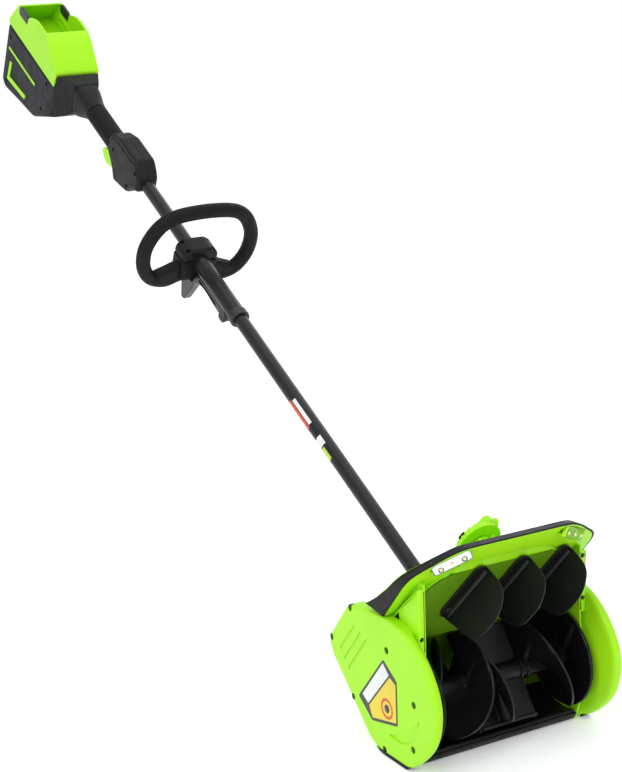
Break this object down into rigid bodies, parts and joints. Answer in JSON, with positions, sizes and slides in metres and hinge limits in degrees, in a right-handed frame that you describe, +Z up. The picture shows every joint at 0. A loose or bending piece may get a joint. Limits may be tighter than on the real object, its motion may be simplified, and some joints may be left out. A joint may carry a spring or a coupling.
{
  "type": "cordless snow shovel",
  "caption": "Battery snow shovel: wide auger head with turning vanes under a lamp-lit hood, a long two-piece boom, a front hand loop and a trigger handle.",
  "frame": {"origin": "centre of the flat underside of the scraper strip, which the head stands on", "axes": "+Z up, -Y forwards into the snow, +Y back along the boom, X across the tool"},
  "size_m": [0.336, 1.8228, 1.0394],
  "materials": {
    "green_plastic": "satin moulded, bright green",
    "black_plastic": "satin moulded, black",
    "charcoal_plastic": "fine-grained, charcoal",
    "soft_rubber": "matt soft grip",
    "boom_paint": "dark grey gloss powder coat",
    "steel": "bare",
    "dark_steel": "blackened",
    "chrome": "vacuum-metallised reflector",
    "clear_lens": "clear moulded lens",
    "belt_rubber": "matt",
    "circuit_board": "lacquered board",
    "copper": "enamelled copper wire"
  },
  "bodies": {
    "frame": {"auger_housing": "green_plastic", "rear_casing_lower": "green_plastic", "rear_casing_upper": "green_plastic", "scraper": "black_plastic", "right_side_wall": "green_plastic", "left_side_wall": "green_plastic", "right_side_cover": "green_plastic", "left_side_cover": "green_plastic", "hood_rim": "green_plastic", "hood_trim": "black_plastic", "left_headlight_lens": "clear_lens", "left_headlight_reflector": "chrome", "right_headlight_lens": "clear_lens", "right_headlight_reflector": "chrome", "hood_back": "green_plastic", "left_auger_bearing": "dark_steel", "right_auger_bearing": "dark_steel", "drive_belt": "belt_rubber", "motor_can": "dark_steel", "motor_end_cap": "black_plastic", "motor_windings": "copper", "controller_board": "circuit_board", "boom_socket": "black_plastic", "socket_bolt": "steel", "lower_tube": "boom_paint", "upper_tube": "boom_paint", "power_cable": "soft_rubber", "coupler_sleeve": "boom_paint", "coupler_end_ring": "black_plastic", "front_loop_handle": "soft_rubber", "loop_clamp_cap": "black_plastic", "left_trigger_housing": "charcoal_plastic", "right_trigger_housing": "charcoal_plastic", "trigger_switch": "black_plastic", "rear_grip": "soft_rubber", "handle_neck": "charcoal_plastic", "left_battery_housing": "charcoal_plastic", "right_battery_housing": "charcoal_plastic", "right_inlay": "green_plastic", "left_inlay": "green_plastic", "battery_bay": "green_plastic", "battery_terminal_block": "black_plastic"},
    "auger": {"auger_left_flight": "black_plastic", "auger_paddles": "black_plastic", "auger_right_flight": "black_plastic", "auger_shaft": "steel", "auger_pulley": "black_plastic"},
    "motor_armature": {"motor_rotor": "steel", "motor_pulley": "steel"},
    "idler": {"idler_pulley": "steel"},
    "vane_a": {"vane_1": "black_plastic"},
    "vane_b": {"vane_2": "black_plastic"},
    "vane_c": {"vane_3": "black_plastic"},
    "dial": {"direction_dial": "green_plastic"},
    "tie_bar": {"vane_tie_bar": "steel"},
    "clamp_lever": {"coupler_lever": "black_plastic"},
    "trigger_key": {"trigger": "green_plastic"},
    "latch_right": {"right_latch": "black_plastic"},
    "latch_left": {"left_latch": "black_plastic"}
  },
  "joints": [
    {"name": "auger_spin", "type": "hinge", "parent": "frame", "child": "auger", "pos_m": [0, -0.006, 0.097], "axis": [1, 0, 0], "continuous": true},
    {"name": "motor_spin", "type": "hinge", "parent": "frame", "child": "motor_armature", "pos_m": [-0.1, 0.112, 0.15], "axis": [1, 0, 0], "continuous": true},
    {"name": "idler_spin", "type": "hinge", "parent": "frame", "child": "idler", "pos_m": [-0.157, 0.0785, 0.0887], "axis": [1, 0, 0], "continuous": true},
    {"name": "vane_control", "type": "hinge", "parent": "frame", "child": "dial", "pos_m": [0, 0.0191, 0.29995], "axis": [0, 0.891, 0.454], "range_deg": [-50, 0]},
    {"name": "vane_1_turn", "type": "hinge", "parent": "frame", "child": "vane_a", "pos_m": [-0.075, -0.0044, 0.2139], "axis": [0, 0.891, 0.454], "range_deg": [-50, 0]},
    {"name": "vane_2_turn", "type": "hinge", "parent": "frame", "child": "vane_b", "pos_m": [0, -0.0044, 0.2139], "axis": [0, 0.891, 0.454], "range_deg": [-50, 0]},
    {"name": "vane_3_turn", "type": "hinge", "parent": "frame", "child": "vane_c", "pos_m": [0.075, -0.0044, 0.2139], "axis": [0, 0.891, 0.454], "range_deg": [-50, 0]},
    {"name": "tie_bar_pivot", "type": "hinge", "parent": "dial", "child": "tie_bar", "pos_m": [-0.00751, -0.01949, 0.26443], "axis": [0, 0.891, 0.454], "range_deg": [0, 50]},
    {"name": "clamp_lever_hinge", "type": "hinge", "parent": "frame", "child": "clamp_lever", "pos_m": [0, 0.79471, 0.50678], "axis": [1, 0, 0], "range_deg": [-110, 0]},
    {"name": "trigger_pull", "type": "hinge", "parent": "frame", "child": "trigger_key", "pos_m": [0, 1.23086, 0.75541], "axis": [1, 0, 0], "range_deg": [0, 7], "stiffness_Nm_per_rad": 0.6, "springref_deg": -6.88},
    {"name": "right_latch_press", "type": "slide", "parent": "frame", "child": "latch_right", "axis": [-1, 0, 0], "range_m": [0, 0.003], "stiffness_N_per_m": 300, "springref_m": -0.002},
    {"name": "left_latch_press", "type": "slide", "parent": "frame", "child": "latch_left", "axis": [1, 0, 0], "range_m": [0, 0.003], "stiffness_N_per_m": 300, "springref_m": -0.002}
  ],
  "couplings": [
    {"joint": "motor_spin", "follows": "auger_spin", "ratio": 3.4286},
    {"joint": "idler_spin", "follows": "auger_spin", "ratio": -5.3333},
    {"joint": "vane_1_turn", "follows": "vane_control", "ratio": 1},
    {"joint": "vane_2_turn", "follows": "vane_control", "ratio": 1},
    {"joint": "vane_3_turn", "follows": "vane_control", "ratio": 1},
    {"joint": "tie_bar_pivot", "follows": "vane_control", "ratio": -1}
  ]
}
